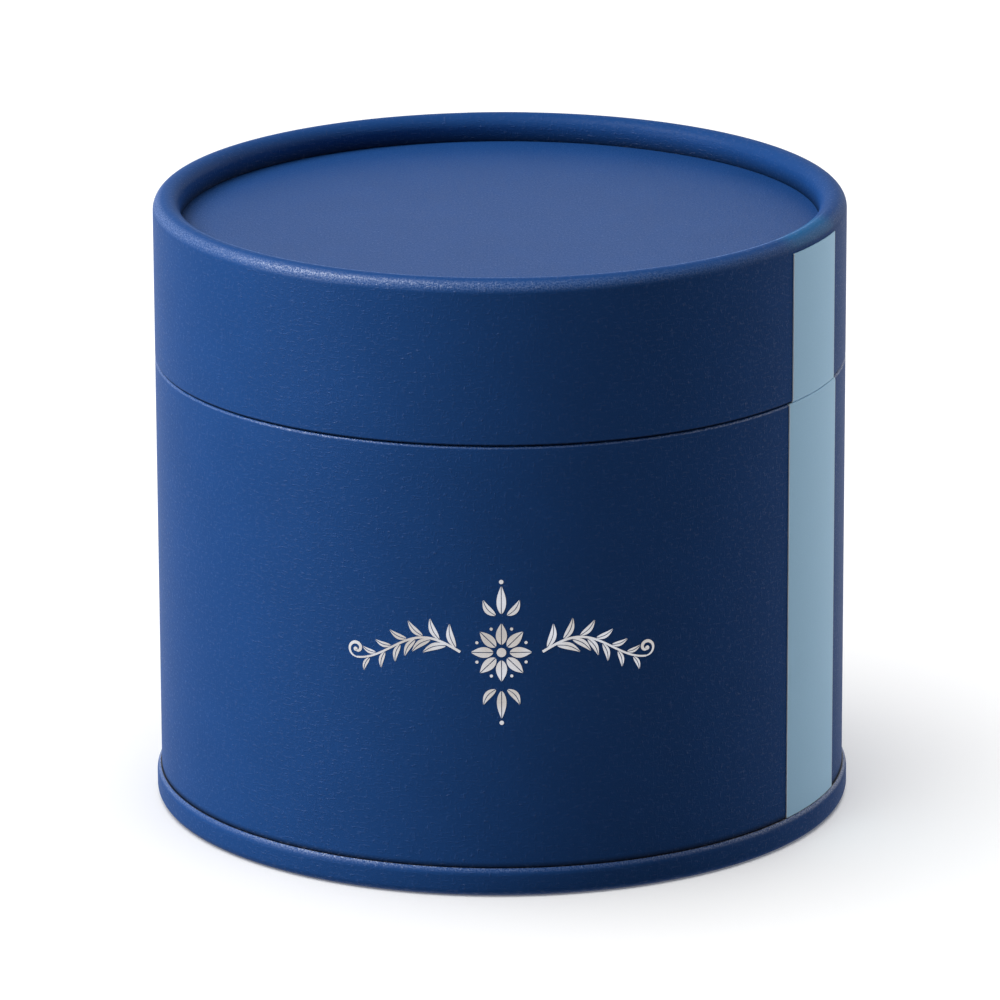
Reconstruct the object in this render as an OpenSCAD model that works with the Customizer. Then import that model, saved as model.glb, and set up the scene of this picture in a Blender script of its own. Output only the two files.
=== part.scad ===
// Cylindrical gift tube box of paper-wrapped board, with a rolled-rim lift-off lid.
// Front faces -Y, the stripe is on the right, and z = 0 is the face that it stands on.

/* [Outside] */
// Diameter over the wraps of the lid and of the body sleeve
outside_d = 90; // [60:1:120]
// Height of the lid, from its lower edge to the top of its rolled rim
lid_h = 21.3; // [16:0.1:40]
// Height of the body sleeve that shows between the base cap and the lid
sleeve_h = 55.6; // [30:0.1:120]
// Height of the base cap, up to the crease where the sleeve rises from it
base_cap_h = 3.8; // [3.5:0.1:8]
// Air between the lid's lower edge and the sleeve's upper edge
seat_gap = 0.1; // [0.05:0.01:0.5]

/* [Board] */
// Wall of the lid's tube, which is also rolled into its rim
lid_board_t = 1.4; // [0.8:0.1:2]
// Wall of the neck, the inner tube that the lid slides over
neck_board_t = 1.4; // [0.8:0.1:2]
// Thickness of the lid's disc
lid_disc_t = 2; // [1:0.1:3]
// Thickness of the base disc
base_disc_t = 1.2; // [0.8:0.1:1.5]
// Thickness of the thin card that is bent into the base cap
hoop_t = 0.3; // [0.2:0.05:0.5]

/* [Paper] */
// Thickness of the coloured wrap
wrap_t = 0.2; // [0.1:0.05:0.25]
// Thickness of the white lining and neck paper
lining_t = 0.15; // [0.1:0.05:0.2]
// Thickness of the light blue stripe
stripe_t = 0.1; // [0.05:0.05:0.2]
// Glue between two layers
glue_t = 0.05; // [0.04:0.01:0.08]
// How far the wrap is turned in behind the lid's lower edge
lid_turn_in = 6; // [3:0.5:8]
// How far the neck paper is turned down inside the neck
neck_turn_in = 8; // [3:0.5:10]
// Space left where a lining meets a turned-in paper edge
butt_gap = 0.2; // [0.1:0.1:0.5]
// Width of the overlap where a wrap's two ends meet at the back
lap_w = 9; // [6:0.5:14]

/* [Rolled edges] */
// Radius of the hollow that stays inside the lid's rolled rim
roll_core_r = 0.1; // [0.05:0.05:0.4]
// Depth of the lid's face below the top of its rim
lid_recess = 3.6; // [2.8:0.1:5]
// Height of the underside's face above the foot
base_recess = 1.4; // [1.3:0.1:2]
// Outer radius of the bends in the base cap's foot
foot_bend_r = 1.1; // [0.8:0.1:1.3]
// Width of the foot's flat, on which the box stands
foot_flat_w = 0.8; // [0.4:0.1:2]
// Radius over the paper where a wrap turns round a board's edge
edge_r = 0.35; // [0.35:0.05:0.6]

/* [Lid fit] */
// Radial air between the neck and the lid that slides over it
slide_gap = 0.25; // [0.15:0.01:0.5]
// Air between the top of the neck and the lid's ceiling
ceiling_gap = 0.8; // [0.4:0.1:3]

/* [Stripe] */
// Angle from the front, towards the right, to the middle of the stripe
stripe_angle = 63.7; // [0:0.1:150]
// Width of the stripe on the sleeve, measured along the wall
sleeve_stripe_w = 14.4; // [4:0.1:30]
// Width of the stripe on the lid, measured along the wall
lid_stripe_w = 12.8; // [4:0.1:30]

/* [Hidden] */
// A wrap and the glue under it
wrapped_t = wrap_t + glue_t;
// A lining or neck paper and the glue under it
lined_t = lining_t + glue_t;

// Lid and sleeve radii, from the outside inwards
outside_r = outside_d / 2;
shell_r = outside_r - wrapped_t;
lid_inside_r = shell_r - lid_board_t;
lid_lining_r = lid_inside_r - glue_t;
lid_mouth_r = lid_lining_r - wrap_t;

// Neck radii, from the outside inwards
neck_r = lid_mouth_r - slide_gap;
neck_board_r = neck_r - lined_t;
neck_inside_r = neck_board_r - neck_board_t;
cavity_lining_r = neck_inside_r - glue_t;
cavity_r = cavity_lining_r - lining_t;
sleeve_inside_r = neck_r + glue_t;

// Base cap radii, from the sleeve outwards
hoop_inside_r = outside_r + glue_t;
hoop_r = hoop_inside_r + hoop_t;
base_r = hoop_r + wrapped_t;
hoop_bend_r = foot_bend_r - wrapped_t;
// The cap's upper edge is rounded over its whole thickness
cap_lip_r = base_r - hoop_inside_r;

// Heights from the foot up
base_disc_z = base_recess + lined_t;
stand_z = base_disc_z + base_disc_t + glue_t;
cap_lip_z = base_cap_h - cap_lip_r;
seam_z = base_cap_h + sleeve_h;
lid_z = seam_z + seat_gap;
top_z = lid_z + lid_h;

// The rolled rim, and the lid's disc under it
roll_board_r = roll_core_r + lid_board_t;
roll_r = roll_board_r + wrapped_t;
roll_z = top_z - roll_r;
lid_face_z = top_z - lid_recess;
lid_disc_z = lid_face_z - wrapped_t - lid_disc_t;
ceiling_z = lid_disc_z - lined_t;
neck_top_z = ceiling_z - ceiling_gap;

// Corner radii that boards keep under a turned wrap or neck paper
wrapped_corner_r = edge_r - wrapped_t;
lined_corner_r = edge_r - lined_t;

// Outer face of the stripe paper
stripe_r = outside_r + glue_t + stripe_t;

// Fineness of the turned bodies and of the bends in their sections
turned_fn = 240;
bend_fn = 48;

wrap_blue = "#1f3f86";
stripe_blue = "#a9cbe2";
board_grey = "#a39d92";
lining_white = "#f0eee8";

// Sections, drawn with the radius along x and the height along y

// Straight wall between two radii and two heights
module wall(r0, r1, z0, z1) {
    translate([r0, z0]) square([r1 - r0, z1 - z0]);
}

// Quarter round about (r, z), turned by quarter turns from the upper right
module corner(r, z, radius, turn) {
    translate([r, z]) rotate(90 * turn) intersection() {
        circle(radius, $fn = bend_fn);
        square(2 * radius);
    }
}

// Sheet of thickness t bent through a quarter turn, its outer face at the given radius
module bend(r, z, radius, t, turn) {
    difference() {
        corner(r, z, radius, turn);
        translate([r, z]) circle(radius - t, $fn = bend_fn);
    }
}

// Sheet of thickness t bent into a U that opens upwards and stands on z = 0
module u_sheet(outer_r, bend_r, flat_w, t, outer_leg, inner_leg) {
    outer_mid_r = outer_r - bend_r;
    inner_mid_r = outer_mid_r - flat_w;
    wall(outer_r - t, outer_r, bend_r, outer_leg);
    bend(outer_mid_r, bend_r, bend_r, t, 3);
    if (flat_w > 0) wall(inner_mid_r, outer_mid_r, 0, t);
    bend(inner_mid_r, bend_r, bend_r, t, 2);
    wall(inner_mid_r - bend_r, inner_mid_r - bend_r + t, bend_r, inner_leg);
}

// Lower end of a board wall, standing on z = 0, with both corners rounded
module round_end(r0, r1, radius) {
    wall(r0 + radius, r1 - radius, 0, radius);
    corner(r1 - radius, radius, radius, 3);
    corner(r0 + radius, radius, radius, 2);
}

// Turns a section upside down, so that what stood on z = 0 hangs from the given height
module hang_from(z) {
    translate([0, z]) mirror([0, 1]) children();
}

// Stripe paper that stands on z = 0, bends round the wrap's edge and is cut off level with it
module stripe_sheet(length) {
    edge_mid_r = outside_r - edge_r;
    edge_mid_z = length - edge_r;
    wall(stripe_r - stripe_t, stripe_r, 0, edge_mid_z);
    intersection() {
        bend(edge_mid_r, edge_mid_z, stripe_r - edge_mid_r, stripe_t, 0);
        wall(edge_mid_r, stripe_r, edge_mid_z, length);
    }
}

// Solids

// Section turned all the way round
module turned() {
    rotate_extrude($fn = turned_fn) children();
}

// Section turned into a strip along the wall, as wide as given at radius r1
// The strip's middle is at the given angle from the front towards the right
module strip(angle, width, r1) {
    half_turn = width / r1 * 90 / PI;
    rotate([0, 0, angle - 90 - half_turn])
        rotate_extrude(angle = 2 * half_turn, $fn = turned_fn) children();
}

// Overlap of a wrap's two ends, one paper thickness proud of the wrap at the back
module lap(z0, z1) {
    lap_r = outside_r + wrap_t;
    strip(180, lap_w, lap_r) wall(outside_r - wrap_t / 2, lap_r, z0, z1);
}

module disc(radius, z, t) {
    translate([0, 0, z]) cylinder(r = radius, h = t, $fn = turned_fn);
}

// Body of the box

// Inner tube, which carries the floor, the sleeve and the sliding lid
module neck_tube() {
    board_top_z = neck_top_z - lined_t;
    color(board_grey) turned() {
        wall(neck_inside_r, neck_board_r, stand_z, board_top_z - lined_corner_r);
        hang_from(board_top_z) round_end(neck_inside_r, neck_board_r, lined_corner_r);
    }
}

// White paper on the neck, turned over its top edge and down inside
module neck_wrap() {
    flat_w = neck_r - cavity_r - 2 * edge_r;
    color(lining_white) turned() hang_from(neck_top_z)
        u_sheet(neck_r, edge_r, flat_w, lining_t, neck_top_z - stand_z, neck_turn_in);
}

module inner_liner() {
    color(lining_white) turned()
        wall(cavity_r, cavity_lining_r, stand_z, neck_top_z - neck_turn_in - butt_gap);
}

module floor_liner() {
    color(lining_white) disc(cavity_r - glue_t, stand_z, lining_t);
}

// Outer tube, thick enough to bring the sleeve flush with the lid
module sleeve_tube() {
    board_top_z = seam_z - wrapped_t;
    color(board_grey) turned() {
        wall(sleeve_inside_r, shell_r, stand_z, board_top_z - wrapped_corner_r);
        hang_from(board_top_z) round_end(sleeve_inside_r, shell_r, wrapped_corner_r);
    }
}

// Blue wrap of the sleeve, turned in over its top edge as far as the neck
module sleeve_wrap() {
    edge_mid_r = outside_r - edge_r;
    edge_mid_z = seam_z - edge_r;
    color(wrap_blue) {
        turned() {
            wall(outside_r - wrap_t, outside_r, stand_z, edge_mid_z);
            bend(edge_mid_r, edge_mid_z, edge_r, wrap_t, 0);
            wall(sleeve_inside_r, edge_mid_r, seam_z - wrap_t, seam_z);
        }
        lap(base_cap_h + glue_t, edge_mid_z);
    }
}

// Stripe paper from the crease up to the sleeve's upper edge
module sleeve_stripe() {
    stripe_z = base_cap_h + glue_t;
    color(stripe_blue) strip(stripe_angle, sleeve_stripe_w, stripe_r)
        translate([0, stripe_z]) stripe_sheet(seam_z - stripe_z);
}

// Thin card round the sleeve's lower end, bent under it into a foot that grips the base disc
module base_hoop() {
    color(board_grey) turned() {
        translate([0, wrapped_t])
            u_sheet(
                hoop_r, hoop_bend_r, foot_flat_w, hoop_t,
                cap_lip_z - wrapped_t, base_recess - glue_t - wrapped_t
            );
        corner(hoop_inside_r, cap_lip_z, hoop_t, 0);
    }
}

// Blue wrap of the base cap, from the crease round the foot to the underside's face
module base_wrap() {
    color(wrap_blue) turned() {
        u_sheet(base_r, foot_bend_r, foot_flat_w, wrap_t, cap_lip_z, base_recess - glue_t);
        bend(hoop_inside_r, cap_lip_z, cap_lip_r, wrap_t, 0);
    }
}

module base_disc() {
    color(board_grey) disc(hoop_inside_r - glue_t, base_disc_z, base_disc_t);
}

module base_disc_paper() {
    color(wrap_blue) disc(hoop_inside_r - glue_t, base_recess, lining_t);
}

// Lid

// Board tube whose upper end is rolled inwards and down onto the disc
module lid_tube() {
    color(board_grey) turned() {
        hang_from(top_z - wrapped_t)
            u_sheet(
                shell_r, roll_board_r, 0, lid_board_t,
                lid_h - 2 * wrapped_t - wrapped_corner_r, lid_recess - wrapped_t - glue_t
            );
        translate([0, lid_z + wrapped_t]) round_end(lid_inside_r, shell_r, wrapped_corner_r);
    }
}

// Blue wrap, from inside the lid's lower edge up the wall and over the roll to the disc
module lid_wrap() {
    flat_w = outside_r - lid_mouth_r - 2 * edge_r;
    color(wrap_blue) {
        turned() {
            translate([0, lid_z])
                u_sheet(outside_r, edge_r, flat_w, wrap_t, lid_h - lid_recess, lid_turn_in);
            hang_from(top_z)
                u_sheet(outside_r, roll_r, 0, wrap_t, lid_recess, lid_recess - glue_t);
        }
        lap(lid_z + edge_r, roll_z);
    }
}

// Stripe paper from the foot of the roll down to the lid's lower edge
module lid_stripe() {
    color(stripe_blue) strip(stripe_angle, lid_stripe_w, stripe_r)
        hang_from(roll_z) stripe_sheet(roll_z - lid_z);
}

module lid_disc() {
    color(board_grey) disc(lid_lining_r, lid_disc_z, lid_disc_t);
}

module lid_disc_paper() {
    color(wrap_blue) disc(lid_lining_r, lid_face_z - wrap_t, wrap_t);
}

module lid_liner() {
    color(lining_white) turned()
        wall(lid_lining_r - lining_t, lid_lining_r, lid_z + lid_turn_in + butt_gap, ceiling_z - glue_t);
}

module lid_ceiling_paper() {
    color(lining_white) disc(lid_lining_r, ceiling_z, lining_t);
}

neck_tube();
neck_wrap();
inner_liner();
floor_liner();
sleeve_tube();
sleeve_wrap();
sleeve_stripe();
base_hoop();
base_wrap();
base_disc();
base_disc_paper();
lid_tube();
lid_wrap();
lid_stripe();
lid_disc();
lid_disc_paper();
lid_liner();
lid_ceiling_paper();
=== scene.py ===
import math

import bpy
from mathutils import Matrix, Vector

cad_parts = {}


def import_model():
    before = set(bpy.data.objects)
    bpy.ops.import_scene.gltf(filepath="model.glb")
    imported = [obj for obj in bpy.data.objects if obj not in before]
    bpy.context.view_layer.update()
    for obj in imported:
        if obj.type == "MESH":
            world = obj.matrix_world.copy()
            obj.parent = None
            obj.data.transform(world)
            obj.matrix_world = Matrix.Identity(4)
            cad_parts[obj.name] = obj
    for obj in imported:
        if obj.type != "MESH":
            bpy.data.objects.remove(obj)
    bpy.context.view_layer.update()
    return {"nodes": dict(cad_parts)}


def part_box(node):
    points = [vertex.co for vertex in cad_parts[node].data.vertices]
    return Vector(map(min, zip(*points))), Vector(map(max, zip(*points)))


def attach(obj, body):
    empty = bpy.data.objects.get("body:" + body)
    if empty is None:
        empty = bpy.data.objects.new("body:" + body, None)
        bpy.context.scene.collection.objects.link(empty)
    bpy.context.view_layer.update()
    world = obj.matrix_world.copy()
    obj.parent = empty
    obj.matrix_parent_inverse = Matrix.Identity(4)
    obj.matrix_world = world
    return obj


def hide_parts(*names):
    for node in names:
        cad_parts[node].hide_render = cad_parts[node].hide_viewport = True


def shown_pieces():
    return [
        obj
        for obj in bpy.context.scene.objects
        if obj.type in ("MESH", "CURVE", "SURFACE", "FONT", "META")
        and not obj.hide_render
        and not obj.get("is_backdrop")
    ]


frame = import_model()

# Lengths are in metres. Angles round the box are from the front, -Y, towards the right, +X.
MM = 0.001

# Mesh fineness
SEGMENTS = 360
PLATE_RINGS = 12
ROW_SPACING = 3 * MM
SAME_POINT = 1e-7
SHARP_EDGE = math.radians(35)

# Paper work, as the boards carry it
WRAP = 0.2 * MM
LINING = 0.15 * MM
GLUE = 0.05 * MM
EDGE_R = 0.35 * MM
STRIPE = 0.1 * MM
STRIPE_GAP = 0.01 * MM
CUT_BEVEL = 0.02 * MM
CUT_PALE = 0.14 * MM
NECK_TURN_IN = 0.2 * MM

# The base cap: its foot's bend and flat, and the shoulder that closes on the sleeve
FOOT_BEND_R = 1.1 * MM
FOOT_FLAT = 0.8 * MM
SHOULDER_R = 1.4 * MM
SHOULDER_TIP_R = 0.22 * MM
SHOULDER_TIP_END = 92
CREASE_GAP = GLUE + 0.012 * MM


# Sizes read from the frame


def low(node):
    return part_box(node)[0].z


def high(node):
    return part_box(node)[1].z


def outer(node):
    """Outer radius of a round node. The laps stand proud only at the back, so +X is clear of them."""
    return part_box(node)[1].x


def bore(node):
    """Least radius of a round node."""
    return min(math.hypot(v.co.x, v.co.y) for v in frame["nodes"][node].data.vertices)


OUTSIDE_R = outer("lid_wrap")
LID_LOW = low("lid_wrap")
LID_TOP = high("lid_wrap")
LID_FACE = high("lid_disc_paper")
RIM_INNER_R = bore("lid_wrap")
ROLL_R = (OUTSIDE_R - RIM_INNER_R) / 2
ROLL_MID_R = OUTSIDE_R - ROLL_R
ROLL_Z = LID_TOP - ROLL_R
MOUTH_R = outer("lid_disc_paper") - WRAP
LID_TURN_IN = low("lid_liner")
SEAM = high("sleeve_wrap")
SLEEVE_LOW = low("sleeve_wrap")
SLEEVE_BORE = bore("sleeve_wrap")
BASE_R = outer("base_wrap")
CREASE = high("base_wrap")
NECK_R = outer("neck_wrap")
NECK_TOP = high("neck_wrap")


# Meshes


def arc(mid_r, mid_z, radius, start, stop, steps=10):
    """Points of an arc in a section, its angles in degrees from outwards towards up."""
    turns = [math.radians(start + (stop - start) * i / steps) for i in range(steps + 1)]
    return [(mid_r + radius * math.cos(a), mid_z + radius * math.sin(a)) for a in turns]


def line(start, stop):
    """Points between two section points, without its ends."""
    steps = max(1, round(math.dist(start, stop) / ROW_SPACING))
    return [tuple(a + (b - a) * i / steps for a, b in zip(start, stop)) for i in range(1, steps)]


def path(*stretches):
    """One row of section points. A straight stretch is filled in between two others."""
    points = []
    for stretch in stretches:
        if points:
            points += line(points[-1], stretch[0])
        points += stretch
    return [p for i, p in enumerate(points) if i == 0 or math.dist(p, points[i - 1]) > SAME_POINT]


def normals(points):
    """Unit normals of a row of section points, to the right of its direction."""
    found = []
    for i in range(len(points)):
        a, b = points[max(i - 1, 0)], points[min(i + 1, len(points) - 1)]
        size = math.dist(a, b)
        found.append(((b[1] - a[1]) / size, (a[0] - b[0]) / size))
    return found


def sheet(face, thickness):
    """Closed section of a sheet whose face runs along the given points."""
    back = [(r - thickness * n[0], z - thickness * n[1]) for (r, z), n in zip(face, normals(face))]
    return face + back[::-1]


def place(angle, r, z):
    """Point at an angle round the box."""
    return (r * math.sin(angle), -r * math.cos(angle), z)


def new_piece(name, verts, faces, uvs, material, body, slot, stands_for=()):
    """Mesh piece with its finish, riding on a body. It may stand for CAD nodes, which it hides."""
    mesh = bpy.data.meshes.new(name)
    mesh.from_pydata(verts, [], faces)
    layer = mesh.uv_layers.new(name="UVMap")
    for loop, uv in zip(layer.data, uvs):
        loop.uv = uv
    mesh.shade_smooth()
    mesh.set_sharp_from_angle(angle=SHARP_EDGE)
    mesh.materials.append(material)
    piece = bpy.data.objects.new(name, mesh)
    bpy.context.scene.collection.objects.link(piece)
    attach(piece, body)
    if stands_for:
        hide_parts(*stands_for)
    return piece


def even_angles(start=-math.pi):
    """Angles of the segments, once round from a start."""
    return [start + 2 * math.pi * i / SEGMENTS for i in range(SEGMENTS)]


def turned(section, angles=None, rise=None):
    """Vertices, faces and UVs, in millimetres along the paper, of a closed section turned all round.
    rise(angle, index) moves a point outwards."""
    angles = angles or even_angles()
    count, rows = len(angles), len(section)
    along = [0.0]
    for a, b in zip(section, section[1:] + section[:1]):
        along.append(along[-1] + math.dist(a, b))
    verts = []
    for angle in angles:
        for j, (r, z) in enumerate(section):
            verts.append(place(angle, r + (rise(angle, j) if rise else 0), z))
    faces, uvs = [], []
    for i in range(count):
        nxt = (i + 1) % count
        u0 = angles[i] * OUTSIDE_R / MM
        u1 = (angles[nxt] + (2 * math.pi if nxt == 0 else 0)) * OUTSIDE_R / MM
        for j in range(rows):
            k = (j + 1) % rows
            faces.append((i * rows + j, nxt * rows + j, nxt * rows + k, i * rows + k))
            v0, v1 = along[j] / MM, along[j + 1] / MM
            uvs += [(u0, v0), (u1, v0), (u1, v1), (u0, v1)]
    return verts, faces, uvs


def round_plate(radius, z0, z1):
    """Vertices, faces and planar UVs of a disc, in rings that keep its triangles well shaped."""
    rings = [radius * (1 - (1 - i / PLATE_RINGS) ** 1.5) for i in range(1, PLATE_RINGS + 1)]
    angles = even_angles()
    verts, faces = [], []
    for z in (z0, z1):
        verts.append((0, 0, z))
        verts += [place(a, r, z) for r in rings for a in angles]
    half = 1 + len(rings) * SEGMENTS

    def at(side, ring, i):
        return side * half + 1 + ring * SEGMENTS + i % SEGMENTS

    last = len(rings) - 1
    for i in range(SEGMENTS):
        faces.append((0, at(0, 0, i + 1), at(0, 0, i)))
        faces.append((half, at(1, 0, i), at(1, 0, i + 1)))
        for k in range(last):
            faces.append((at(0, k, i), at(0, k, i + 1), at(0, k + 1, i + 1), at(0, k + 1, i)))
            faces.append((at(1, k, i + 1), at(1, k, i), at(1, k + 1, i), at(1, k + 1, i + 1)))
        faces.append((at(0, last, i), at(0, last, i + 1), at(1, last, i + 1), at(1, last, i)))
    uvs = [(verts[v][0] / MM, verts[v][1] / MM) for face in faces for v in face]
    return verts, faces, uvs


# Laps at the back, where a wrap's end is pasted over its beginning

LAP_HALF = math.radians(5.7)
LAP_RAMP = math.radians(1.6)
LAP_STEP = math.radians(0.02)
LAP_CLEAR = math.radians(0.3)
LAP_ROWS = 8


def lap_angles():
    """Even angles, with close ones at the lap's ramp and at its cut edge."""
    start, stop = math.pi - LAP_HALF, math.pi + LAP_HALF
    close = [start + LAP_RAMP * i / LAP_ROWS for i in range(LAP_ROWS + 1)] + [stop - LAP_STEP, stop]
    even = even_angles(stop - 2 * math.pi + LAP_STEP)
    kept = [a for a in even if all(abs(a - c) > LAP_CLEAR for c in close)]
    return sorted(kept + close)


def lap_rise(angle):
    """Height of the lap over the wrap at an angle."""
    inward = angle - (math.pi - LAP_HALF)
    if inward <= 0 or angle > math.pi + LAP_HALF - LAP_STEP / 2:
        return 0.0
    share = min(1.0, inward / LAP_RAMP)
    return WRAP * share * share * (3 - 2 * share)


def lapped(face, low_z):
    """Sheet section turned all round, its outer wall proud at the lap and above low_z."""
    section = sheet(face, WRAP)
    leans = [n[0] for n in normals(face)]

    def rise(angle, j):
        if j >= len(face) or face[j][1] < low_z or face[j][0] < ROLL_MID_R:
            return 0.0
        return lap_rise(angle) * max(0.0, leans[j])

    return turned(section, lap_angles(), rise)


# Materials


def shader(name, **values):
    """New material with a Principled shader. Returns the material, its tree and the shader node."""
    material = bpy.data.materials.new(name)
    material.use_nodes = True
    tree = material.node_tree
    principled = next(n for n in tree.nodes if n.type == "BSDF_PRINCIPLED")
    for socket, value in values.items():
        principled.inputs[socket.replace("_", " ")].default_value = value
    return material, tree, principled


def add(tree, kind, **inputs):
    """New node, with its inputs set to numbers or linked to outputs. A key is an input's name, or i and
    its place. Keys with a leading underscore are properties."""
    made = tree.nodes.new(kind)
    for key, value in inputs.items():
        if key.startswith("_"):
            setattr(made, key[1:], value)
    for key, value in inputs.items():
        if key.startswith("_"):
            continue
        by_place = key[0] == "i" and key[1:].isdigit()
        socket = made.inputs[int(key[1:])] if by_place else made.inputs[key]
        if isinstance(value, bpy.types.NodeSocket):
            tree.links.new(value, socket)
        else:
            socket.default_value = value
    return made


def math_node(tree, operation, *values):
    """Output of a math node on one or two values."""
    made = add(tree, "ShaderNodeMath", _operation=operation, **{f"i{i}": v for i, v in enumerate(values)})
    return made.outputs[0]


def noise(tree, where, scale, detail=2.0, roughness=0.5):
    """Noise in 0 to 1, its scale per unit of where, as one number or one for each direction."""
    sizes = scale if isinstance(scale, tuple) else (scale, scale, scale)
    mapped = add(tree, "ShaderNodeMapping", Vector=where, Scale=sizes)
    made = add(
        tree, "ShaderNodeTexNoise", Vector=mapped.outputs[0], Scale=1.0, Detail=detail, Roughness=roughness
    )
    return made.outputs[0]


def remap(tree, value, low_in, high_in, low_out, high_out):
    """Output that goes from one range to another, and stays within the second."""
    made = add(
        tree, "ShaderNodeMapRange", Value=value,
        **{"From Min": low_in, "From Max": high_in, "To Min": low_out, "To Max": high_out},
    )
    return made.outputs[0]


def weigh(tree, *pairs):
    """Sum of outputs, each times a number."""
    total = None
    for value, weight in pairs:
        part = math_node(tree, "MULTIPLY", value, weight)
        total = part if total is None else math_node(tree, "ADD", total, part)
    return total


def tint(tree, colour, factor):
    """Colour made lighter or darker by a factor that varies over the surface."""
    made = add(tree, "ShaderNodeVectorMath", _operation="SCALE", i0=colour, Scale=factor)
    return made.outputs[0]


def mix(tree, factor, first, second):
    """Colour between two, the first at factor 0."""
    made = add(tree, "ShaderNodeMix", _data_type="RGBA", i0=factor, i6=first, i7=second)
    return made.outputs[2]


def bumped(tree, height, distance):
    """Normal of a surface with small relief."""
    return add(tree, "ShaderNodeBump", Height=height, Strength=1.0, Distance=distance).outputs[0]


def mark(tree, name):
    """How much a place of the piece is marked, from 0 to 1."""
    return add(tree, "ShaderNodeAttribute", _attribute_name=name).outputs["Fac"]


def srgb(red, green, blue):
    """Linear colour of an sRGB one in 0 to 255."""
    shares = [c / 255 for c in (red, green, blue)]
    return tuple(c / 12.92 if c <= 0.04045 else ((c + 0.055) / 1.055) ** 2.4 for c in shares)


# The satin coat of a marked paper: everywhere, on its fibres, and where it is polished
COAT_ROUGHNESS = 0.33
COAT_IOR = 1.5
COAT_EVEN = 0.07
COAT_FIBRES = 0.13
COAT_POLISHED = 0.85
COAT_RELIEF = 3.2


def paper(name, colour, fibre=1.0, relief=0.011 * MM, gloss=0.42, ior=1.14, marks=None, cut=None):
    """Fine paper: raised fibres lying along and across the sheet, small flecks, and a soft mottle.
    Marks are the colours of places that the piece marks as tinted by the stripe, as rubbed edges that are
    worn and carry a painted highlight, and as a painted highlight on the roll's inner edge. A paper with
    marks also has a thin satin coat, and painted shade where a crevice is marked. Cut is the colour of
    cut edges."""
    material, tree, principled = shader(name, IOR=ior, Roughness=gloss)
    sheet_mm = add(tree, "ShaderNodeUVMap", _uv_map="UVMap").outputs[0]
    across = noise(tree, sheet_mm, (1.1, 3.4, 1.0), 2.0)
    upright = noise(tree, sheet_mm, (2.8, 1.3, 1.0), 2.0)
    grain = noise(tree, sheet_mm, 4.5, 2.0)
    mottle = noise(tree, sheet_mm, 0.12, 3.0)
    flecks = noise(tree, sheet_mm, (2.2, 1.6, 1.0), 1.0)
    long_fibres = remap(tree, across, 0.55, 0.75, 0.0, 1.0)
    short_fibres = remap(tree, upright, 0.57, 0.77, 0.0, 1.0)
    ridges = weigh(tree, (long_fibres, 1.0), (short_fibres, 0.9))
    light_fleck = remap(tree, flecks, 0.72, 0.80, 0.0, 0.10 * fibre)
    dark_fleck = remap(tree, flecks, 0.28, 0.20, 0.0, -0.08 * fibre)
    spread = weigh(
        tree, (ridges, 0.03 * fibre), (grain, 0.03 * fibre), (mottle, 0.16 * fibre),
        (light_fleck, 1.0), (dark_fleck, 1.0),
    )
    level = math_node(tree, "ADD", spread, 1.0 - 0.1 * fibre)
    base = colour
    if marks:
        shaded, worn_pale = marks
        speckle = remap(tree, grain, 0.4, 0.6, 0.15, 1.0)
        # Edge wear and painted highlight: rubbed edges go a little paler, towards the pale navy.
        rub = math_node(tree, "MULTIPLY", mark(tree, "rubbed"), speckle)
        base = mix(tree, mark(tree, "stripe_shade"), (*colour, 1.0), (*shaded, 1.0))
        # Painted highlight: the inner-edge mark, broken into patches, makes the colour paler.
        patches = remap(tree, upright, 0.4, 0.6, 0.2, 0.8)
        worn = math_node(tree, "MULTIPLY", mark(tree, "worn"), patches)
        pale = math_node(tree, "MAXIMUM", worn, weigh(tree, (rub, 0.17)))
        base = mix(tree, pale, base, (*worn_pale, 1.0))
        # Painted shade: the colour goes darker where the crevice shade is marked.
        kept = math_node(tree, "SUBTRACT", 1.0, mark(tree, "crevice"))
        level = math_node(tree, "MULTIPLY", level, kept)
        principled.inputs["Coat Roughness"].default_value = COAT_ROUGHNESS
        principled.inputs["Coat IOR"].default_value = COAT_IOR
        polish = math_node(tree, "MULTIPLY", mark(tree, "polished"), speckle)
        sheen = weigh(tree, (polish, COAT_POLISHED), (ridges, COAT_FIBRES))
        tree.links.new(math_node(tree, "ADD", sheen, COAT_EVEN), principled.inputs["Coat Weight"])
        fibres = weigh(tree, (ridges, 1.0), (grain, 0.25))
        tree.links.new(bumped(tree, fibres, COAT_RELIEF * relief), principled.inputs["Coat Normal"])
    if cut:
        base = mix(tree, mark(tree, "cut_edge"), (*colour, 1.0), (*cut, 1.0))
    tree.links.new(tint(tree, base, level), principled.inputs["Base Color"])
    rough = weigh(tree, (grain, 0.2), (ridges, -0.04))
    tree.links.new(math_node(tree, "ADD", rough, gloss - 0.08), principled.inputs["Roughness"])
    height = weigh(tree, (ridges, 1.0), (grain, 0.9))
    tree.links.new(bumped(tree, height, relief), principled.inputs["Normal"])
    return material


def greyboard():
    """Grey recycled board: mottled pulp with darker specks."""
    material, tree, principled = shader("greyboard", IOR=1.3, Roughness=0.85)
    where = add(tree, "ShaderNodeTexCoord").outputs["Object"]
    pulp = noise(tree, where, 1400.0, 4.0)
    specks = remap(tree, noise(tree, where, 3600.0, 1.0), 0.66, 0.74, 0.0, -0.25)
    level = math_node(tree, "ADD", weigh(tree, (pulp, 0.5), (specks, 1.0)), 0.75)
    tree.links.new(tint(tree, srgb(163, 157, 146), level), principled.inputs["Base Color"])
    tree.links.new(bumped(tree, pulp, 0.03 * MM), principled.inputs["Normal"])
    return material


WARM_SILVER = (0.60, 0.57, 0.55, 1.0)
COOL_SILVER = (0.56, 0.57, 0.61, 1.0)


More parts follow.
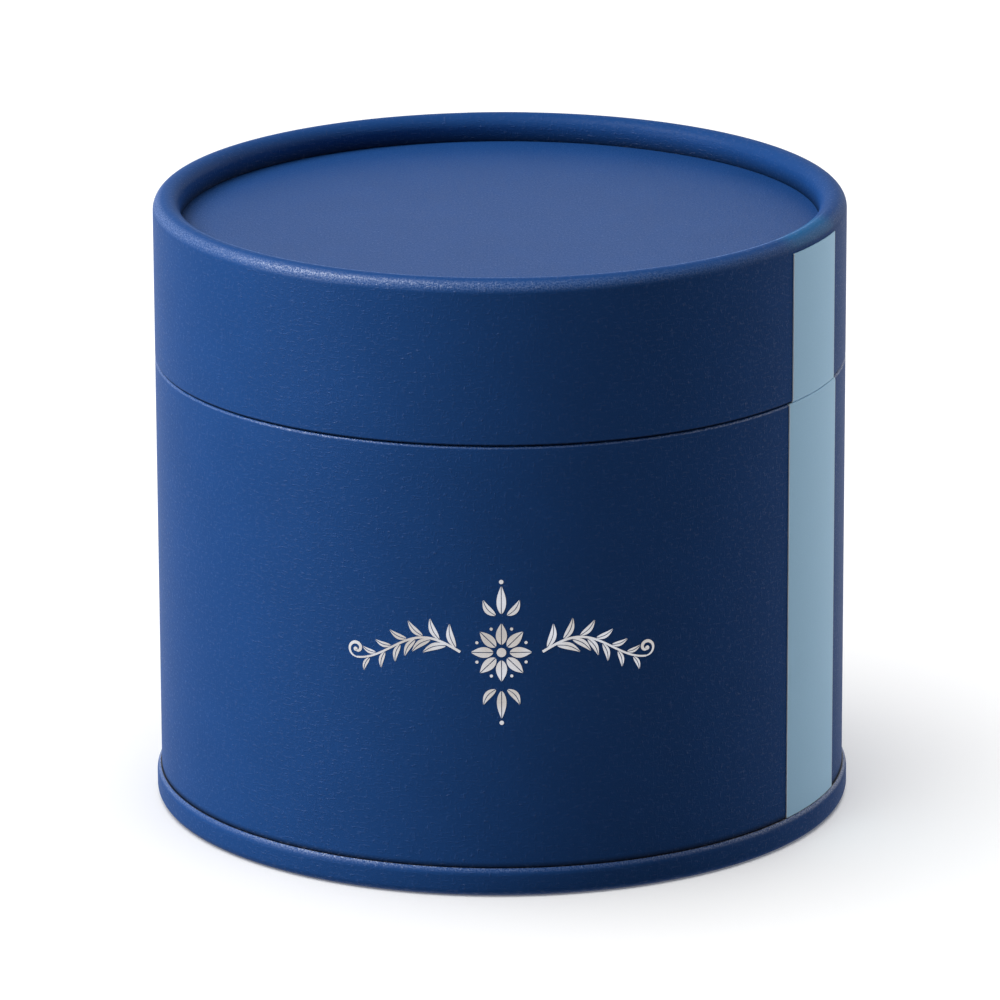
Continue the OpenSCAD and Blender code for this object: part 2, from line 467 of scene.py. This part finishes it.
def silver_foil():
    """Hot-stamped foil: satin metal with a slight pull from the paper under it."""
    material, tree, principled = shader("silver_foil", Metallic=1.0, Roughness=0.34)
    where = add(tree, "ShaderNodeUVMap", _uv_map="UVMap").outputs[0]
    cloud = noise(tree, where, 0.16, 2.0)
    grain = noise(tree, where, 5.0, 2.0)
    level = math_node(tree, "ADD", weigh(tree, (cloud, 1.1), (grain, 0.15)), 0.25)
    drift = remap(tree, cloud, 0.4, 0.6, 0.0, 1.0)
    tone = mix(tree, drift, WARM_SILVER, COOL_SILVER)
    tree.links.new(tint(tree, tone, level), principled.inputs["Base Color"])
    tree.links.new(bumped(tree, grain, 0.008 * MM), principled.inputs["Normal"])
    return material


NAVY = srgb(26, 64, 118)
STRIPE_SHADE = srgb(28, 92, 140)
# Paler navy for worn edges and for the painted highlights on edges.
PALE_NAVY_WEAR_AND_HIGHLIGHT = srgb(112, 142, 196)
LIGHT_BLUE = srgb(166, 209, 238)
CUT_BLUE = srgb(232, 240, 246)
WHITE = srgb(238, 236, 231)

NAVY_PAPER = paper(
    "navy_wrap", NAVY, relief=0.022 * MM, gloss=0.46, ior=1.06, marks=(STRIPE_SHADE, PALE_NAVY_WEAR_AND_HIGHLIGHT)
)
LIGHT_BLUE_PAPER = paper(
    "light_blue_paper", LIGHT_BLUE, fibre=0.3, relief=0.005 * MM, gloss=0.5, ior=1.35, cut=CUT_BLUE
)
WHITE_PAPER = paper("white_paper", WHITE, fibre=0.25, relief=0.006 * MM, gloss=0.6, ior=1.3)
GREYBOARD = greyboard()
SILVER = silver_foil()


# The lid


def stripe_angles(node):
    """Least and largest angle of a stripe node."""
    angles = [math.atan2(v.co.x, -v.co.y) for v in frame["nodes"][node].data.vertices]
    return min(angles), max(angles)


def mark_points(piece, **marks):
    """Marks each point by each mark's amount(angle, r, z), kept from 0 to 1."""
    for name, amount in marks.items():
        layer = piece.data.attributes.new(name, "FLOAT", "POINT")
        for value, vert in zip(layer.data, piece.data.vertices):
            x, y, z = vert.co
            value.value = max(0.0, min(1.0, amount(math.atan2(x, -y), math.hypot(x, y), z)))


def plateau(value, start, full, end_full, stop):
    """0 up to start, 1 from full to end_full, and 0 again from stop."""
    return max(0.0, min(1.0, (value - start) / (full - start), (stop - value) / (stop - end_full)))


def lean(r, z, mid_r, mid_z):
    """Angle of a bend's surface, in degrees from outwards towards up."""
    return math.degrees(math.atan2(z - mid_z, r - mid_r))


LID_STRIPE_ANGLES = stripe_angles("lid_stripe")


def roll_shade(angle, r, z):
    """Where the stripe's colour shows on the roll above it."""
    start, stop = LID_STRIPE_ANGLES
    blur = math.radians(2.2)
    edge = plateau(angle, start - blur, start + blur, stop - blur, stop + blur)
    strength, begin, fade = 0.8, ROLL_Z + 0.35 * MM, 0.5 * MM
    return strength * edge * min(1.0, (z - begin) / fade)


def roll_rub_and_highlight(angle, r, z):
    """The roll's shoulder: worn by hands and the rolling tool, and paler there as a painted highlight."""
    if z < ROLL_Z:
        return 0.0
    return plateau(lean(r, z, ROLL_MID_R, ROLL_Z), 8, 28, 48, 70)


def roll_polish(angle, r, z):
    """The rubbed shoulder, most where the lid is held."""
    return roll_rub_and_highlight(angle, r, z) * (0.08 + 0.92 * plateau(math.degrees(angle), -110, -60, 0, 35))


def roll_inner_highlight(angle, r, z):
    """Painted highlight along the roll's inner edge, at the front only."""
    if z <= ROLL_Z:
        return 0.0
    front = plateau(math.degrees(angle), -75, -45, 55, 80)
    return front * plateau(lean(r, z, ROLL_MID_R, ROLL_Z), 93, 97, 101, 105)


def lid_crevice(angle, r, z):
    """Painted shade: the lower edge over the seam, and the inner wall, darker down to where the roll meets
    the disc.
    """
    depth = 0.85
    if z < LID_LOW + EDGE_R:
        return depth * plateau(lean(r, z, OUTSIDE_R - EDGE_R, LID_LOW + EDGE_R), -200, -100, -40, -8)
    if r > ROLL_MID_R or z > ROLL_Z:
        return 0.0
    return depth * (1 - (z - LID_FACE) / (ROLL_Z - LID_FACE))


def lid_cover():
    """Blue wrap of the lid: turned in round the lower edge, up the wall and over the roll to the disc."""
    face = path(
        [(MOUTH_R, LID_TURN_IN - LINING)],
        arc(MOUTH_R + EDGE_R, LID_LOW + EDGE_R, EDGE_R, 180, 270),
        arc(OUTSIDE_R - EDGE_R, LID_LOW + EDGE_R, EDGE_R, 270, 360),
        arc(ROLL_MID_R, ROLL_Z, ROLL_R, 0, 180, 60),
        [(RIM_INNER_R, ROLL_Z - (ROLL_Z - LID_FACE - GLUE) * i / 6) for i in range(1, 7)],
    )
    data = lapped(face, LID_LOW)
    piece = new_piece("lid_cover", *data, NAVY_PAPER, "lid", "navy_wrap", ["lid_wrap"])
    mark_points(
        piece, stripe_shade=roll_shade, rubbed=roll_rub_and_highlight, polished=roll_polish, worn=roll_inner_highlight,
        crevice=lid_crevice,
    )


def plate(name, node, material, body, slot, polish=0.0):
    """Round flat sheet in a node's place, all of it polished by the same amount."""
    data = round_plate(outer(node), low(node), high(node))
    piece = new_piece(name, *data, material, body, slot, [node])
    if polish:
        mark_points(piece, polished=lambda angle, r, z: polish)


def tube(name, node, material, body, slot):
    """Plain round lining in a node's place."""
    r0, r1, z0, z1 = bore(node), outer(node), low(node), high(node)
    section = path([(r1, z0), (r1, z1)], [(r0, z1), (r0, z0)])
    new_piece(name, *turned(section), material, body, slot, [node])


# The body


def sleeve_cover():
    """Blue wrap of the sleeve, turned in over its top edge as far as the neck."""
    # Close rows above the crease carry the painted shade's fade.
    dim_rows = [CREASE + GLUE + rise * MM for rise in (0, 0.1, 0.2, 0.35, 0.5, 0.7)]
    dim_height = 0.7 * MM
    face = path(
        [(OUTSIDE_R, SLEEVE_LOW), (OUTSIDE_R, CREASE)] + [(OUTSIDE_R, z) for z in dim_rows],
        arc(OUTSIDE_R - EDGE_R, SEAM - EDGE_R, EDGE_R, 0, 90),
        [(SLEEVE_BORE, SEAM)],
    )
    data = lapped(face, CREASE + GLUE)
    piece = new_piece("sleeve_cover", *data, NAVY_PAPER, "box", "navy_wrap", ["sleeve_wrap"])

    # Painted shade on the sleeve, darkest at the crease and fading out above it.
    def crevice(angle, r, z):
        return 0.95 * (1 - max(0.0, z - CREASE) / dim_height)

    # Edge wear and painted highlight on the rounding of the sleeve's top edge.
    def rub(angle, r, z):
        if z <= SEAM - EDGE_R:
            return 0.0
        return plateau(lean(r, z, OUTSIDE_R - EDGE_R, SEAM - EDGE_R), 4, 25, 60, 80)

    mark_points(piece, crevice=crevice, rubbed=rub, polished=rub)


def base_cover():
    """Blue wrap of the base cap: the foot, the wall, and a sloping shoulder that closes on the sleeve."""
    foot_mid_r = BASE_R - FOOT_BEND_R
    inner_mid_r = foot_mid_r - FOOT_FLAT
    crown_r = OUTSIDE_R + CREASE_GAP
    crown_z = CREASE - SHOULDER_TIP_R
    reach = SHOULDER_R - SHOULDER_TIP_R
    slope = math.acos((SHOULDER_R - BASE_R + crown_r) / reach)
    shoulder = (BASE_R - SHOULDER_R, crown_z - reach * math.sin(slope))
    turn = math.degrees(slope)
    face = path(
        [(inner_mid_r - FOOT_BEND_R, low("base_disc_paper") - GLUE)],
        arc(inner_mid_r, FOOT_BEND_R, FOOT_BEND_R, 180, 270),
        arc(foot_mid_r, FOOT_BEND_R, FOOT_BEND_R, 270, 360),
        arc(*shoulder, SHOULDER_R, 0, turn, 16),
        arc(crown_r, crown_z, SHOULDER_TIP_R, turn, SHOULDER_TIP_END, 8)[1:],
    )
    data = turned(sheet(face, WRAP))
    piece = new_piece("base_cover", *data, NAVY_PAPER, "box", "navy_wrap", ["base_wrap"])

    # Edge wear and painted highlight on the base cap's shoulder.
    def rub(angle, r, z):
        return plateau(lean(r, z, *shoulder), 18, 34, turn, 80) if z > shoulder[1] else 0.0

    # Painted shade at the shoulder's tip, down in the crease against the sleeve.
    def crevice(angle, r, z):
        if r >= OUTSIDE_R + 0.3 * MM:
            return 0.0
        return 0.9 * (z - CREASE + 0.06 * MM) / (0.05 * MM)

    mark_points(piece, rubbed=rub, polished=rub, crevice=crevice)


def neck_cover():
    """White paper on the neck, turned over its top edge and down inside."""
    inner_r = bore("neck_wrap")
    face = path(
        [(NECK_R, low("neck_wrap"))],
        arc(NECK_R - EDGE_R, NECK_TOP - EDGE_R, EDGE_R, 0, 90),
        arc(inner_r + EDGE_R, NECK_TOP - EDGE_R, EDGE_R, 90, 180),
        [(inner_r, high("inner_liner") + NECK_TURN_IN)],
    )
    data = turned(sheet(face, LINING))
    new_piece("neck_cover", *data, WHITE_PAPER, "box", "white_paper", ["neck_wrap"])


# The stripe

STRIPE_COLUMNS = 40


def wall_uvs(verts, faces):
    """UVs in millimetres along and up the wall, for each corner of the faces."""
    points = [verts[v] for face in faces for v in face]
    return [(math.atan2(x, -y) * OUTSIDE_R / MM, z / MM) for x, y, z in points]


def over_edge(length, lift):
    """Section points at a height over the wrap, from a square end to a cut level with the wrap's edge."""
    radius = EDGE_R + lift
    turn = math.degrees(math.asin(EDGE_R / radius))
    return path([(OUTSIDE_R + lift, 0)], arc(OUTSIDE_R - EDGE_R, length - EDGE_R, radius, 0, turn, 8))


def stripe(name, node, body, hanging):
    """Light blue strip pasted on the wall, bent round the wrap's edge at the seam, its cut edges pale."""
    start, stop = stripe_angles(node)
    z0, z1 = low(node), high(node)
    width = (stop - start) * OUTSIDE_R
    inside = [CUT_PALE + (width - 2 * CUT_PALE) * i / STRIPE_COLUMNS for i in range(STRIPE_COLUMNS + 1)]
    verts, faces, edges = [], [], []
    for s in [0, CUT_BEVEL] + inside + [width - CUT_BEVEL, width]:
        from_edge = min(s, width - s)
        bevel = max(0.0, CUT_BEVEL - from_edge)
        face = over_edge(z1 - z0, GLUE + STRIPE - bevel)
        back = over_edge(z1 - z0, STRIPE_GAP)
        section = face + back[::-1]
        if hanging:
            section = [(r, z1 - h) for r, h in reversed(section)]
        else:
            section = [(r, z0 + h) for r, h in section]
        verts += [place(start + s / OUTSIDE_R, r, z) for r, z in section]
        edges += [1.0 if from_edge < CUT_PALE / 2 else 0.0] * len(section)
    count = len(section)
    last = len(verts) - count
    for first in range(0, last, count):
        for j in range(count):
            k = (j + 1) % count
            faces.append((first + j, first + count + j, first + count + k, first + k))
    for j in range(count // 2 - 1):
        near, far = (j, j + 1), (count - 2 - j, count - 1 - j)
        faces.append((*near, *far))
        faces.append((last + near[1], last + near[0], last + far[1], last + far[0]))
    uvs = wall_uvs(verts, faces)
    piece = new_piece(name, verts, faces, uvs, LIGHT_BLUE_PAPER, body, "light_blue_paper", [node])
    layer = piece.data.attributes.new("cut_edge", "FLOAT", "POINT")
    for value, edge in zip(layer.data, edges):
        value.value = edge


# The foil ornament on the front

FOIL_R = OUTSIDE_R + 0.03 * MM
FOIL_BACK_R = OUTSIDE_R - 0.05 * MM
FOIL_Z = 32.5 * MM


# Sizes of the shapes, in millimetres
LEAST_WIDTH = 0.02
HALF_VEIN = 0.05
LEAF_STEPS = 18
DOT_STEPS = 16
CURL_STEPS = 44
CURL_SHRINK = 0.86
SMALL_DOT = 0.28


class Foil:
    """Flat shapes in millimetres, across and up from the ornament's middle, laid on the sleeve."""

    def __init__(self):
        self.verts, self.faces = [], []
        self.side = 1

    def at(self, point, r):
        """Place of a point on the sleeve, mirrored where side is -1."""
        x, y = point
        return place(self.side * x * MM / OUTSIDE_R, r, FOIL_Z + y * MM)

    def ribbon(self, points, widths):
        """Closed thin solid along a row of points, as wide as given at each."""
        rows = []
        for i, (x, y) in enumerate(points):
            a, b = points[max(i - 1, 0)], points[min(i + 1, len(points) - 1)]
            size = math.dist(a, b)
            nx, ny = (a[1] - b[1]) / size, (b[0] - a[0]) / size
            w = max(widths[i], LEAST_WIDTH) / 2
            pair = ((x + nx * w, y + ny * w), (x - nx * w, y - ny * w))
            rows.append(pair if self.side == 1 else pair[::-1])
        first = len(self.verts)
        for left, right in rows:
            for r in (FOIL_R, FOIL_BACK_R):
                self.verts += [self.at(left, r), self.at(right, r)]
        for i in range(len(rows) - 1):
            a, b = first + 4 * i, first + 4 * (i + 1)
            self.faces += [(a, a + 1, b + 1, b), (a + 2, b + 2, b + 3, a + 3)]
            self.faces += [(a, b, b + 2, a + 2), (a + 1, a + 3, b + 3, b + 1)]
        end = first + 4 * (len(rows) - 1)
        self.faces.append((first, first + 2, first + 3, first + 1))
        self.faces.append((end, end + 1, end + 3, end + 2))

    def leaf(self, x, y, angle, length, wide, bow=0.12):
        """Pointed leaf in two halves that leave a bare vein between them."""
        for half in (1, -1):
            points, widths = [], []
            for i in range(LEAF_STEPS + 1):
                t = i / LEAF_STEPS
                body = wide * math.sin(math.pi * t ** 0.8) ** 0.95
                px = t * length
                py = bow * length * math.sin(math.pi * t) + half * (body / 4 + HALF_VEIN)
                points.append((
                    x + px * math.cos(angle) - py * math.sin(angle),
                    y + px * math.sin(angle) + py * math.cos(angle),
                ))
                widths.append(body / 2)
            self.ribbon(points, widths)

    def dot(self, x, y, radius):
        """Round dot, as a ribbon from its left end to its right one."""
        turns = [math.pi * i / DOT_STEPS for i in range(DOT_STEPS + 1)]
        points = [(x + radius * math.cos(math.pi - turn), y) for turn in turns]
        self.ribbon(points, [2 * radius * math.sin(turn) for turn in turns])

    def curl(self, x, y, angle, radius, turns, bend, wide):
        """Scroll that starts at a point in a direction and winds in on itself, to the left for bend 1."""
        points, widths, heading, px, py = [], [], angle, x, y
        step = 2 * math.pi * turns / CURL_STEPS
        for i in range(CURL_STEPS + 1):
            t = i / CURL_STEPS
            points.append((px, py))
            widths.append(wide * (0.35 + 0.65 * math.sin(math.pi * t)))
            now = radius * (1 - CURL_SHRINK * t)
            heading += bend * step
            px += now * step * math.cos(heading)
            py += now * step * math.sin(heading)
        self.ribbon(points, widths)
        self.dot(px, py, SMALL_DOT)


STEM_START = 5.2
STEM_REACH = 13.6
STEM_RISE = 1.7
STEM_STEPS = 50
LEAF_PAIRS = 6
PETALS = 8


def stem_point(t):
    """Point and slope of the right sprig's stem, t from 0 near the rosette to 1 at its tip."""
    wave = 1.5 * math.pi
    slope = math.atan2(STEM_RISE * wave * math.cos(wave * t), STEM_REACH)
    return STEM_START + STEM_REACH * t, STEM_RISE * math.sin(wave * t), slope


def sprig(foil):
    """Waving stem with slender leaves on both sides and a scroll at its tip."""
    shares = [i / STEM_STEPS for i in range(STEM_STEPS + 1)]
    foil.ribbon([stem_point(t)[:2] for t in shares], [0.34 - 0.1 * t for t in shares])
    for k in range(LEAF_PAIRS):
        for up, shift in ((1, 0.0), (-1, 0.075)):
            x, y, slope = stem_point(0.04 + 0.15 * k + shift)
            size = 1.0 - 0.08 * k
            turn = slope + up * math.radians(46)
            x, y = x + 0.3 * math.cos(turn), y + 0.3 * math.sin(turn)
            foil.leaf(x, y, turn, 3.1 * size, 0.85 * size, -up * 0.1)
    x, y, slope = stem_point(1.0)
    foil.curl(x, y, slope, 1.15, 1.2, 1, 0.42)


def ornament():
    """Eight-petalled rosette with a sprig on each side, and three leaves above and below."""
    foil = Foil()
    for side in (1, -1):
        foil.side = side
        sprig(foil)
        for up in (1, -1):
            foil.leaf(0.75, up * 4.9, up * math.radians(52), 2.5, 0.85, -up * 0.12)
    foil.side = 1
    for up in (1, -1):
        foil.leaf(0, up * 5.1, up * math.pi / 2, 3.6, 1.1, 0)
        foil.dot(0, up * 9.3, SMALL_DOT)
    for k in range(PETALS):
        a = 2 * math.pi / PETALS * k
        foil.leaf(1.05 * math.cos(a), 1.05 * math.sin(a), a, 2.75, 1.3, 0)
        b = a + math.pi / PETALS
        foil.dot(3.35 * math.cos(b), 3.35 * math.sin(b), 0.2)
    foil.dot(0, 0, 0.6)
    uvs = wall_uvs(foil.verts, foil.faces)
    new_piece("foil_ornament", foil.verts, foil.faces, uvs, SILVER, "box", "navy_wrap")


# The pieces


def build_box():
    sleeve_cover()
    base_cover()
    neck_cover()
    tube("inner_lining", "inner_liner", WHITE_PAPER, "box", "white_paper")
    plate("floor_paper", "floor_liner", WHITE_PAPER, "box", "white_paper")
    plate("underside_facing", "base_disc_paper", NAVY_PAPER, "box", "navy_wrap")
    stripe("body_stripe", "sleeve_stripe", "box", hanging=False)
    ornament()


def build_lid():
    lid_cover()
    plate("lid_facing", "lid_disc_paper", NAVY_PAPER, "lid", "navy_wrap", polish=0.35)
    tube("lid_lining", "lid_liner", WHITE_PAPER, "lid", "white_paper")
    plate("ceiling_paper", "lid_ceiling_paper", WHITE_PAPER, "lid", "white_paper")
    stripe("lid_band", "lid_stripe", "lid", hanging=True)


def dress_boards():
    """Grey board on the CAD nodes that stay."""
    for node in ("neck_tube", "sleeve_tube", "base_hoop", "base_disc", "lid_tube", "lid_disc"):
        mesh = frame["nodes"][node].data
        mesh.materials.clear()
        mesh.materials.append(GREYBOARD)


# The studio

LAMP_AIM = Vector((0, 0, 0.045))
AMBIENT = 0.02
FLOOR_R = 4.0
FLOOR_SIDES = 96

# The camera: where it stands, and its angles in degrees
CAMERA_AT = (0, -0.96260, 0.32692)
CAMERA_PITCH = 16.648
CAMERA_YAW = -0.007
CAMERA_ROLL = -0.220
LENS = 275.63


def group(name, objects):
    """Collection of the objects that a lamp lights."""
    made = bpy.data.collections.new(name)
    for piece in objects:
        made.objects.link(piece)
    return made


def lamp(name, azimuth, elevation, distance, size, level, lights, blockers=None):
    """Square soft lamp, seen from the box at an angle from the front and a height, in degrees.
    At level 1 a matte surface that faces it, at its distance, shows its own colour. Only blockers,
    where they are given, cast its shadows."""
    a, e = math.radians(azimuth), math.radians(elevation)
    away = Vector((math.sin(a) * math.cos(e), -math.cos(a) * math.cos(e), math.sin(e)))
    light = bpy.data.lights.new(name, "AREA")
    light.shape = "SQUARE"
    light.size = size
    light.energy = level * (math.pi * distance) ** 2
    rig = bpy.data.objects.new(name, light)
    rig.location = LAMP_AIM + away * distance
    rig.rotation_mode = "QUATERNION"
    rig.rotation_quaternion = (-away).to_track_quat("-Z", "Y")
    bpy.context.scene.collection.objects.link(rig)
    rig.light_linking.receiver_collection = lights
    if blockers:
        rig.light_linking.blocker_collection = blockers


def seen(tree):
    """1 for rays that show the background: camera, glossy and transmission rays."""
    rays = add(tree, "ShaderNodeLightPath").outputs
    either = math_node(tree, "MAXIMUM", rays["Is Camera Ray"], rays["Is Glossy Ray"])
    return math_node(tree, "MAXIMUM", either, rays["Is Transmission Ray"])


def world(ambient):
    """White where it is seen, and a little light from all sides."""
    made = bpy.data.worlds.new("studio")
    made.use_nodes = True
    tree = made.node_tree
    background = next(n for n in tree.nodes if n.type == "BACKGROUND")
    background.inputs["Color"].default_value = (1, 1, 1, 1)
    level = remap(tree, seen(tree), 0.0, 1.0, ambient, 1.0)
    tree.links.new(level, background.inputs["Strength"])
    bpy.context.scene.world = made


def floor(bounce, white, shadow):
    """Pale floor: white where it is seen, less the box's soft shadow, and open from below."""
    mesh = bpy.data.meshes.new("floor")
    ring = [place(2 * math.pi * i / FLOOR_SIDES, FLOOR_R, 0) for i in range(FLOOR_SIDES)]
    mesh.from_pydata(ring, [], [tuple(range(FLOOR_SIDES))])
    material = bpy.data.materials.new("floor")
    material.use_nodes = True
    tree = material.node_tree
    tree.nodes.clear()
    matte = add(tree, "ShaderNodeBsdfDiffuse", Color=(bounce, bounce, bounce, 1))
    shaded = add(tree, "ShaderNodeBsdfDiffuse", Color=(shadow, shadow, shadow, 1))
    glow = add(tree, "ShaderNodeEmission", Color=(1, 1, 1, 1), Strength=white)
    lit = add(tree, "ShaderNodeAddShader", i0=shaded.outputs[0], i1=glow.outputs[0])
    shown = add(tree, "ShaderNodeMixShader", Fac=seen(tree), i1=matte.outputs[0], i2=lit.outputs[0])
    back = add(tree, "ShaderNodeNewGeometry").outputs["Backfacing"]
    clear = add(tree, "ShaderNodeBsdfTransparent")
    both = add(tree, "ShaderNodeMixShader", Fac=back, i1=shown.outputs[0], i2=clear.outputs[0])
    add(tree, "ShaderNodeOutputMaterial", Surface=both.outputs[0])
    mesh.materials.append(material)
    ground = bpy.data.objects.new("floor", mesh)
    bpy.context.scene.collection.objects.link(ground)
    ground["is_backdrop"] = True
    return ground


def camera():
    """Camera at the photograph's angle: a long lens, looking down at the front."""
    pitch, yaw, roll = (math.radians(a) for a in (CAMERA_PITCH, CAMERA_YAW, CAMERA_ROLL))
    level = math.cos(pitch)
    ahead = Vector((math.sin(yaw) * level, math.cos(yaw) * level, -math.sin(pitch)))
    right = Vector((math.cos(yaw), -math.sin(yaw), 0))
    up = right.cross(ahead)
    side = math.cos(roll) * right + math.sin(roll) * up
    over = -math.sin(roll) * right + math.cos(roll) * up
    data = bpy.data.cameras.new("camera")
    data.sensor_width = 36.0
    data.lens = LENS
    data.clip_start = 0.05
    data.clip_end = 50.0
    rig = bpy.data.objects.new("camera", data)
    rotation = Matrix((side, over, -ahead)).transposed().to_4x4()
    rig.matrix_world = Matrix.Translation(CAMERA_AT) @ rotation
    bpy.context.scene.collection.objects.link(rig)
    bpy.context.scene.camera = rig


def light_up():
    """The lamps: angles, distance, size and level. The overhead lamp gives the floor its shadow."""
    the_floor = group("lit_floor", [floor(bounce=0.36, white=0.15, shadow=0.88)])
    the_box = group("lit_box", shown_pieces())
    lamp("key", -85, 45, 0.8, 0.36, 0.86, the_box)
    lamp("top", -70, 65, 0.8, 0.36, 0.56, the_box)
    lamp("window", -68, 5, 0.8, 0.36, 0.64, the_box)
    lamp("fill", 110, 12, 0.8, 1.1, 0.8, the_box)
    lamp("below", 180, -72, 0.8, 0.6, 0.45, the_box, the_box)
    lamp("overhead", -75, 80, 1.5, 2.3, 2.22, the_floor)


build_box()
build_lid()
dress_boards()
camera()
world(AMBIENT)
light_up()
bpy.context.scene.view_settings.view_transform = "Standard"
